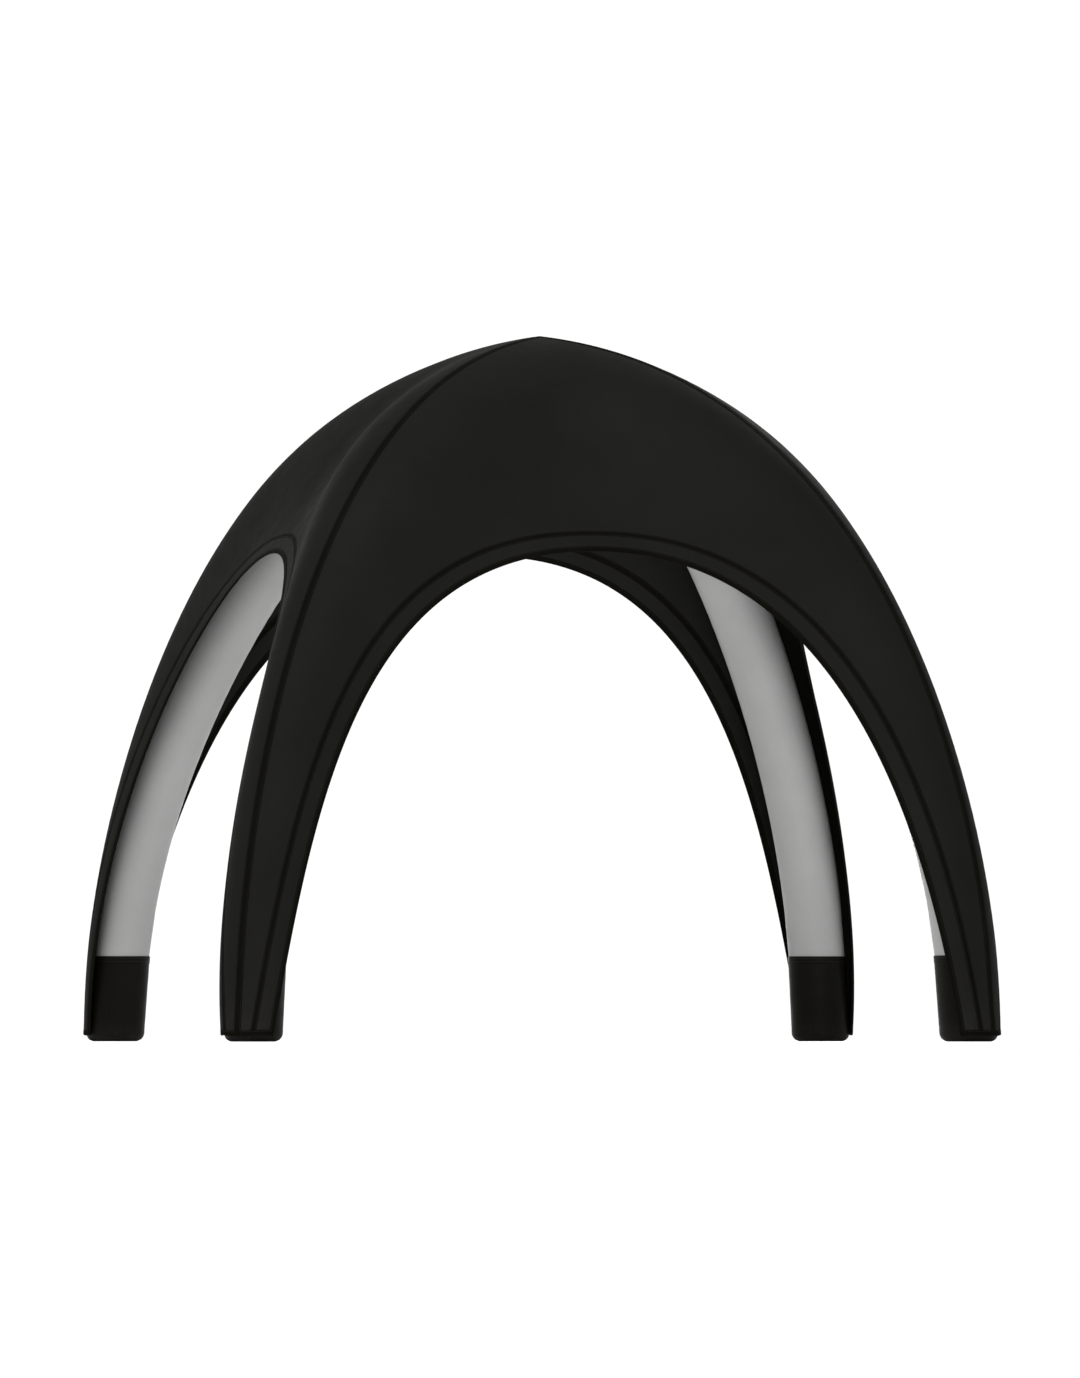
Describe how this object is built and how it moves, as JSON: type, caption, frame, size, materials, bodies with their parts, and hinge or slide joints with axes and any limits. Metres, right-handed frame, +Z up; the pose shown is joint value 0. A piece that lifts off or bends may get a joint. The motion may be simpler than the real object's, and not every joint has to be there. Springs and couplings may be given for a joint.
{
  "type": "inflatable arch tent",
  "caption": "Square open shelter of dark cloth stretched over bent air tubes that meet at a pointed crown, with an arched opening on every side and cup boots on the feet.",
  "frame": {"origin": "middle of the floor under the crown", "axes": "+Z up, -Y towards the front arch, +X to the right of someone facing the front"},
  "size_m": [3.2564, 3.2564, 2.9178],
  "materials": {
    "panel_cloth": "matte",
    "binding_tape": "matte",
    "tube_cloth": "satin",
    "boot_cloth": "satin"
  },
  "bodies": {
    "root": {"roof_panel_front": "panel_cloth", "roof_panel_right": "panel_cloth", "roof_panel_back": "panel_cloth", "roof_panel_left": "panel_cloth", "arch_binding_front": "binding_tape", "arch_binding_right": "binding_tape", "arch_binding_back": "binding_tape", "arch_binding_left": "binding_tape", "foot_binding_first_front": "binding_tape", "foot_binding_first_right": "binding_tape", "foot_binding_first_back": "binding_tape", "foot_binding_first_left": "binding_tape", "foot_binding_second_front": "binding_tape", "foot_binding_second_right": "binding_tape", "foot_binding_second_back": "binding_tape", "foot_binding_second_left": "binding_tape", "ridge_tape_front_left": "binding_tape", "ridge_tape_front_right": "binding_tape", "ridge_tape_back_left": "binding_tape", "ridge_tape_back_right": "binding_tape", "air_tube_front_left": "tube_cloth", "air_tube_front_right": "tube_cloth", "air_tube_back_left": "tube_cloth", "air_tube_back_right": "tube_cloth", "boot_front_left": "boot_cloth", "boot_front_right": "boot_cloth", "boot_back_left": "boot_cloth", "boot_back_right": "boot_cloth"}
  },
  "joints": []
}
